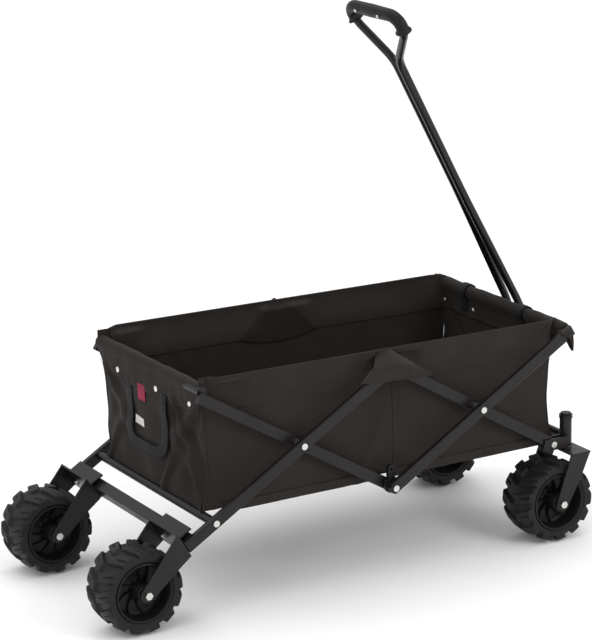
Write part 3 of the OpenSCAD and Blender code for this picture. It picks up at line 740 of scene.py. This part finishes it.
# piping down each upright corner, and a flat seam down the middle of each side
for side, sign in SIDES.items():
    for name, end in ENDS.items():
        z = np.linspace(FLOOR_Z + 1, BAR_Z[end] - SEAM + 12, 60)
        path = np.stack([(corner_x(z, end, sign) + 0.6) * end, (corner_y(z, end) + 0.6) * sign, z], 1)
        path[:, 0] += 0.5 * np.sin(z / 13 + sign)
        soft(f"{name}_piping_{side}", tube(f"{name}_piping_{side}", path, 2.1, "fabric", "tub", 12))
    z = np.linspace(FLOOR_Z + 2, RIM_Z - HEM, 60)
    w = np.linspace(-4.5, 4.5, 7)
    Z, W = np.meshgrid(z, w, indexing="ij")
    X = 27 + W + 1.2 * np.sin(Z / 37)
    Y = (side_y(X, Z, sign) + 0.9 + 0.4 * np.cos(W / 4.5 * math.pi / 2)) * sign
    seam = np.stack([X, Y, Z], 2)
    soft(f"side_seam_{side}", cloth(f"side_seam_{side}", seam, 0.8, "fabric"))


def band_grid(x0, x1, sign):
    """Folded band that hangs a little below the floor along a side."""
    xs = np.linspace(x0, x1, 90)
    zs = np.linspace(BASE_Z + 0.5, FLOOR_Z + 9, 14)
    X, Z = np.meshgrid(xs, zs, indexing="ij")
    Y = side_y(X, np.maximum(Z, FLOOR_Z + 1), sign) + 2.0 + 0.5 * np.sin(X / 29 + sign) * bell(Z - BASE_Z, 12)
    return np.stack([X, Y * sign, Z], 2)


for side, sign in SIDES.items():
    for name, x0, x1 in (("rear", -394, -27), ("front", 27, 404)):
        label = f"{name}_base_band_{side}"
        sheet_piece(label, band_grid(x0, x1, sign), 1.6)


# ---------------------------------------------------------------- pockets over the top-centre pivots
def pocket_grid(sign):
    """Cloth from a narrow top at the rim, out over the bar ends, to an arched lower edge."""
    u = np.linspace(-1, 1, 80)
    v = np.linspace(0, 1, 70)
    U, V = np.meshgrid(u, v, indexing="ij")
    top = rim_line(0) + 2.4 - 9.0 * np.abs(U) ** 1.5
    low = 449.0 - 5 * U + 4.5 * U ** 2 - 3.0 * bell(np.abs(U) - 0.62, 0.16)
    Z = top + (low - top) * V
    X = U * (12 + 76 * V ** 0.95) - 1
    rim = WALL_Y + FLARE + 3.2
    out = rim + (POCKET_Y + 2.0 - rim) * smoothstep(V, 0.0, 0.55)
    tuck = 9.0 * smoothstep(np.abs(U), 0.62, 1.0) * (1 - smoothstep(V, 0.55, 0.95)) * smoothstep(V, 0.02, 0.2)
    sag = 1.2 * np.sin(V * math.pi) * np.cos(U * 2.0) + 0.9 * waves(X, Z, 71 + sign, 30, 120, 12)
    hollow = 5.0 * bell(U, 0.35) * smoothstep(V, 0.45, 1.0)
    Y = out - tuck - hollow + sag * smoothstep(V, 0.1, 0.4)
    return np.stack([X, Y * sign, Z], 2)


def patch_grid(sign):
    """Doubled cloth inside the side, behind the pocket."""
    u = np.linspace(-1, 1, 50)
    v = np.linspace(0, 1, 30)
    U, V = np.meshgrid(u, v, indexing="ij")
    top = rim_line(0) - 6
    low = 417 + 15 * np.abs(U) ** 2.5
    Z = top + (low - top) * V
    X = U * (14 + 86 * V ** 0.9)
    Y = side_y(X, Z, sign) - 4.2
    return np.stack([X, Y * sign, Z], 2)


for side, sign in SIDES.items():
    pocket = sheet_piece(f"pivot_pocket_{side}", pocket_grid(sign), 1.8)
    if side == "left":
        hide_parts("centre_pockets")
    # The patch inside the side takes the darker inner cloth, which is painted shade.
    sheet_piece(f"pivot_patch_{side}", patch_grid(sign), 1.4, "inner_cloth_painted_shade")
    g = pocket_grid(sign)
    edge = np.concatenate([g[0], g[1:, -1], g[-1, ::-1][1:]])
    soft(f"pocket_edge_{side}", tube(f"pocket_edge_{side}", edge, 1.7, "fabric", "tub", 10))


# ---------------------------------------------------------------- webbing, label and press studs
def strap(name, path, out, half, thick=1.7, material=None, slot="webbing"):
    """A flat strap: path down its middle, out its outward side at each point."""
    path, out = np.asarray(path, float), unit(np.asarray(out, float))
    along = unit(np.gradient(path, axis=0))
    across = unit(np.cross(out, along))
    w = np.linspace(-1, 1, 9)
    crown = 0.35 * (1 - w ** 2)
    p = path[:, None] + across[:, None] * (w * half)[None, :, None] + out[:, None] * crown[None, :, None]
    return soft(name, cloth(name, p, thick, slot, material=material))


low, high = span("pull_loop")
LOOP_HALF = (high - low)[1] / 2 - 12.5
LOOP_LOW = low[2] + 12.5
turn = LOOP_LOW + 38
side_of = np.linspace(0, 1, 34)
arc = np.linspace(0, math.pi / 2, 16)
leg = [[LOOP_HALF, high[2] - (high[2] - turn) * t] for t in side_of]
bend = [[LOOP_HALF - 38 * (1 - math.cos(a)), turn - 38 * math.sin(a)] for a in arc[1:]]
flat = [[(LOOP_HALF - 38) * (1 - t), LOOP_LOW] for t in np.linspace(0, 1, 10)[1:]]
half_loop = np.array(leg + bend + flat)
loop = np.concatenate([half_loop, half_loop[::-1][1:] * [-1, 1]])
behind = end_x(loop[:, 0], loop[:, 1], -1)
stand = 3.0 + 9.0 * smoothstep(high[2] - loop[:, 1], 20, 130)
place = np.maximum(behind + 1.5, -(low[0] - MID) - 3) + stand * 0.5
face = np.tile([-1.0, 0, 0], (len(loop), 1))
webbing = strap("pull_webbing", np.stack([-place, loop[:, 0], loop[:, 1]], 1), face, 12.5)
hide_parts("pull_loop")
rows = []
for y in (LOOP_HALF, -LOOP_HALF):
    x = -place[0] - 1.7
    box = [[x, y - 9, high[2] - 4], [x, y + 9, high[2] - 4], [x, y + 9, high[2] - 22], [x, y - 9, high[2] - 22], [x, y - 9, high[2] - 4]]
    rows += [np.array(box), np.array([box[0], box[2]]), np.array([box[1], box[3]])]
stitches("pull_stitches", rows)


def flat_patch(name, y, z, half_y, half_z, material, tilt=0.0):
    """A small plain piece of cloth sewn on the rear panel."""
    u = np.linspace(-1, 1, 15)
    U, V = np.meshgrid(u, u, indexing="ij")
    Y = y + U * half_y
    Z = z + V * half_z + tilt * U * half_y
    X = end_x(Y, Z, -1) + 2.4 + 0.4 * (1 - U ** 2) * (1 - V ** 2)
    o = cloth(name, np.stack([-X, Y, Z], 2)[::-1], 0.9, "webbing", material=OWN[material])
    return soft(name, o)


flat_patch("plain_tab", 20, 424, 14, 18, "tab")
flat_patch("plain_patch", 38, 356, 23, 9, "patch")


def stud(x, y, z, out):
    """Domed cap with a rolled flange, its axis along X."""
    prof = [(0.01, 2.1), (1.6, 2.05), (3.2, 1.7), (4.4, 1.1), (4.9, 0.6), (5.6, 0.75), (6.3, 0.6), (6.7, 0.1), (6.5, -0.5), (0.01, -0.5)]
    v, f = lathe(prof, 28)
    return np.stack([x + v[:, 1] * out, y + v[:, 0], z + v[:, 2]], 1), f[:, ::-1] if out < 0 else f


studs = []
for end, places in ((-1, (-172, -44, 124, 208)), (1, (-207, -94, 94, 207))):
    z = BAR_Z[end] - 38
    for y in places:
        studs.append(stud(float(end_x(y, z, end)) * end - 3.4, y, z, -1))
v, f = join(*studs)
snaps = soft("press_studs", piece("press_studs", v, f, "snap", "tub"))
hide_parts("tub_snaps")

# keeper straps round the front rim, either side of the handle
for name, y in (("left", 128.0), ("right", -96.0)):
    a = np.linspace(-0.9, math.pi + 0.9, 40)
    r = BAR_R + 6.2
    bar = np.array([BAR_X[1], y, BAR_Z[1]])
    out = np.stack([np.cos(a), 0 * a, np.sin(a)], 1)
    low_z = np.linspace(BAR_Z[1] - 44, BAR_Z[1] - 18, 8)
    legs_x = end_x(y, low_z, 1)
    front = np.stack([legs_x + 4.2, np.full(8, y), low_z], 1)
    back = np.stack([legs_x - 4.2, np.full(8, y), low_z], 1)[::-1]
    path = np.concatenate([front, bar + out * r, back])
    outs = np.concatenate([np.tile([1.0, 0, 0], (8, 1)), out, np.tile([-1.0, 0, 0], (8, 1))])
    for _ in range(2):
        path[1:-1] = path[1:-1] * 0.5 + (path[:-2] + path[2:]) * 0.25
        outs[1:-1] = unit(outs[1:-1] * 0.5 + (outs[:-2] + outs[2:]) * 0.25)
    strap(f"rim_keeper_{name}", path, outs, 12.0)


# the front sleeve's ends wrap the outer bars' ends and hang in a point
def flap_grid(sign):
    u = np.linspace(0, 1, 36)
    v = np.linspace(0, 1, 30)
    U, V = np.meshgrid(u, v, indexing="ij")
    wrap = U * 2.3
    X = BAR_X[1] - 22 + 33 * np.sin(np.minimum(wrap, math.pi / 2)) - 4 * smoothstep(U, 0.7, 1)
    Y = 271.5 - 34 * smoothstep(U, 0.45, 1.0) + 1.5 * np.sin(V * 3)
    top = BAR_Z[1] + 12 - 14 * (1 - U) ** 2 - 4 * U
    low = BAR_Z[1] - 8 - 40 * bell(U - 0.62, 0.30)
    Z = top + (low - top) * V
    Y = Y - 20 * (1 - V) ** 4 * (1 - 0.3 * U)
    return np.stack([X, Y * sign, Z], 2)


# The corner flaps take the darker end cloth, which is painted shade.
for side, sign in SIDES.items():
    sheet_piece(f"corner_flap_{side}", flap_grid(sign), 1.6, "end_cloth_painted_shade")


# ---------------------------------------------------------------- floor and boards
def floor_grid():
    u = np.linspace(0, 1, 120)
    v = np.linspace(-1, 1, 60)
    U, V = np.meshgrid(u, v, indexing="ij")
    X = -FOOT[-1] + 1 + (FOOT[-1] + FOOT[1] - 2) * U
    Y = V * (WALL_Y - 1)
    sag = waves(X, Y, 91, 60, 300, 18) * 0.5
    return np.stack([X, Y, FLOOR_Z + 1.3 + sag * (1 - V ** 6)], 2)


# The floor cloth takes the darker end cloth, which is painted shade.
base = sheet_piece("tub_base", floor_grid(), 1.4, "end_cloth_painted_shade")
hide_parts("tub_floor")


def pad(x0, x1, y0, y1, z0, z1, seed):
    """A covered board: a crowned slab with soft edges and pulled-in sides."""
    n, m = 44, 64
    u, v = np.linspace(-1, 1, n), np.linspace(-1, 1, m)
    U, V = np.meshgrid(np.sign(u) * (1 - (1 - np.abs(u)) ** 1.6), np.sign(v) * (1 - (1 - np.abs(v)) ** 1.6), indexing="ij")
    half = np.array([(x1 - x0) / 2, (y1 - y0) / 2])
    slim = np.array([1 - 0.006 * (1 - V ** 2), 1 - 0.004 * (1 - U ** 2)])
    X = (x0 + x1) / 2 + U * half[0] * slim[0]
    Y = (y0 + y1) / 2 + V * half[1] * slim[1]
    edge = np.minimum((1 - np.abs(U)) * half[0], (1 - np.abs(V)) * half[1])
    round_off = np.sqrt(np.clip(1 - (1 - np.clip(edge / 5.0, 0, 1)) ** 2, 0, 1))
    mid = (z0 + z1) / 2
    crown = 0.8 * (1 - U ** 4) * (1 - V ** 4) + 0.35 * waves(X, Y, seed, 40, 160, 14)
    up = mid + ((z1 - mid - 1.1) + crown) * round_off
    down = mid - (mid - z0 - 0.2) * round_off
    a = np.stack([X, Y, up], 2).reshape(-1, 3)
    b = np.stack([X, Y, down], 2)[1:-1, 1:-1].reshape(-1, 3)
    inner = np.full((n, m), -1)
    inner[1:-1, 1:-1] = np.arange((n - 2) * (m - 2)).reshape(n - 2, m - 2) + n * m
    index = np.where(inner < 0, np.arange(n * m).reshape(n, m), inner)
    top = grid_faces(n, m)
    under = index.reshape(-1)[top][:, ::-1]
    flat_uv = np.stack([X, Y], 2) / 1000
    uv = np.concatenate([flat_uv.reshape(-1, 2), flat_uv[1:-1, 1:-1].reshape(-1, 2)])
    return np.concatenate([a, b]), np.concatenate([top, under]), uv


low, high = span("floor_board")
low[0] -= MID
high[0] -= MID
BOARD_GAP = 4.0
step = (high[0] - low[0] + BOARD_GAP) / 4
for k in range(4):
    x0 = low[0] + k * step
    v, f, uv = pad(x0, x0 + step - BOARD_GAP, low[1], high[1], low[2], high[2], 101 + k)
    board = soft(f"covered_board_{k + 1}", piece(f"covered_board_{k + 1}", v, f, "board", "tub", uv=uv))
    if k == 0:
        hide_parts("floor_board")


# ---------------------------------------------------------------- handle grip
LEAN = math.radians(27.8)
GRIP_HALF = 98.0
SHOULDER = 130.0


def bent(points, eases, n=12):
    """The line through the points, with a round of that reach at each corner."""
    out = []
    for i, (p, e) in enumerate(zip(points, eases)):
        p = np.array(p, float)
        if i in (0, len(points) - 1) or e == 0:
            out.append(p)
            continue
        a = p + unit(np.array(points[i - 1], float) - p) * e
        b = p + unit(np.array(points[i + 1], float) - p) * e
        out += [a * (1 - t) ** 2 + 2 * p * t * (1 - t) + b * t * t for t in np.linspace(0, 1, n)]
    return np.array(out)


low, high = span("handle_grip")
upward = np.array([-math.sin(LEAN), 0, math.cos(LEAN)])
GRIP_R = 16.0
top_mid = np.array([low[0] + GRIP_R - MID, 0, high[2] - GRIP_R])


def head(y, s):
    """A point in the grip's plane, s along the upper handle from the middle of the grip."""
    return top_mid + upward * s + np.array([0, y, 0])


half_head = [head(10, -SHOULDER), head(GRIP_HALF - 4, -46), head(GRIP_HALF - 1, -14), head(GRIP_HALF - 20, 0)]
mirrored = [p * [1, -1, 1] for p in half_head[::-1]]
route = bent(half_head + mirrored, [0, 14, 12, 12, 12, 12, 14, 0])
along = (route - top_mid) @ upward
route = route[along > -38]
route -= upward * 3.0
spots = np.concatenate([[0], np.cumsum(np.linalg.norm(np.diff(route, axis=0), axis=1))])
total = spots[-1]
at = np.linspace(0, total, 260)
route = np.stack([np.interp(at, spots, route[:, k]) for k in range(3)], 1)
for _ in range(6):
    route[1:-1] = route[1:-1] * 0.5 + (route[:-2] + route[2:]) * 0.25
d_end = np.minimum(at, total - at)
lip = 4.5 * bell(d_end, 4.5)
swell = 0.8 * smoothstep(d_end, 60, 130) - 0.35 * bell(np.mod(at, 9.0) - 4.5, 1.2) * smoothstep(d_end, 40, 60)
rings = [circle(40, r) * [1.0, 0.95] for r in GRIP_R - 2.0 + lip + swell]
grip_points = sweep(route, rings)
n = len(route)
faces = grid_faces(n, 40, False, True).tolist()
v = np.concatenate([grip_points.reshape(-1, 3), route[:1], route[-1:]])
faces += [[(k + 1) % 40, k, n * 40] for k in range(40)]
faces += [[(n - 1) * 40 + k, (n - 1) * 40 + (k + 1) % 40, n * 40 + 1] for k in range(40)]
grip = piece("hand_grip", v, faces, "grip", "handle")
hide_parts("handle_grip")


# ---------------------------------------------------------------- each cloth piece gets a mesh of its own
for o in pieces.values():
    tuple(row([0, 0, 300.0]))
    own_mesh(o)


# ---------------------------------------------------------------- camera, lights and floor
camera = bpy.data.objects.new("camera", bpy.data.cameras.new("camera"))
bpy.context.scene.collection.objects.link(camera)
bpy.context.scene.camera = camera
ahead = Vector((0.48425, 0.83073, -0.27458))
right = Vector((0.86145, -0.50757, -0.01636))
camera.matrix_world = Matrix.Translation((-2.90754, -4.96587, 2.17205)) @ Matrix(
    (right, right.cross(ahead), -ahead)).transposed().to_4x4()
camera.data.lens = 2778.4 * 36 / 640
camera.data.shift_x = (296 - 289.8) / 640
camera.data.clip_end = 50

floor_size = 60
bpy.ops.mesh.primitive_plane_add(size=floor_size, location=(0, 0, cad_box[0][2]))
floor = bpy.context.object
floor.name = "floor"
fm, ft, fb = new_material("floor_paint", (0.9, 0.9, 0.9), 0.9, spec=0.1)
ft.links.new(ramp(ft, noise(ft, 3, 3, 0.5), [(0.3, (0.93, 0.93, 0.93)), (0.7, (0.95, 0.95, 0.95))]), fb.inputs["Base Color"])
floor.data.materials.append(fm)

world = bpy.data.worlds.new("studio")
bpy.context.scene.world = world
world.use_nodes = True
world.node_tree.nodes["Background"].inputs["Color"].default_value = (1, 1, 1, 1)
world.node_tree.nodes["Background"].inputs["Strength"].default_value = 0.84


def soft_light(name, place, target, size, power):
    data = bpy.data.lights.new(name, "AREA")
    data.shape = "RECTANGLE"
    data.size, data.size_y = size
    data.energy = power
    o = bpy.data.objects.new(name, data)
    bpy.context.scene.collection.objects.link(o)
    o.location = place
    o.rotation_euler = (Vector(target) - Vector(place)).to_track_quat("-Z", "Y").to_euler()


soft_light("key", (1.6, -3.4, 2.6), (0, 0, 0.4), (1.6, 1.2), 45)
soft_light("fill", (-3.4, -1.4, 1.8), (0, 0, 0.3), (1.4, 1.4), 16)
overhead = bpy.data.lights.new("overhead", "SUN")
overhead.energy = 1.0
overhead.angle = math.radians(70)
sky = bpy.data.objects.new("overhead", overhead)
bpy.context.scene.collection.objects.link(sky)
sky.rotation_euler = (math.radians(-14), math.radians(-8), 0)
bpy.context.scene.view_settings.view_transform = "Standard"
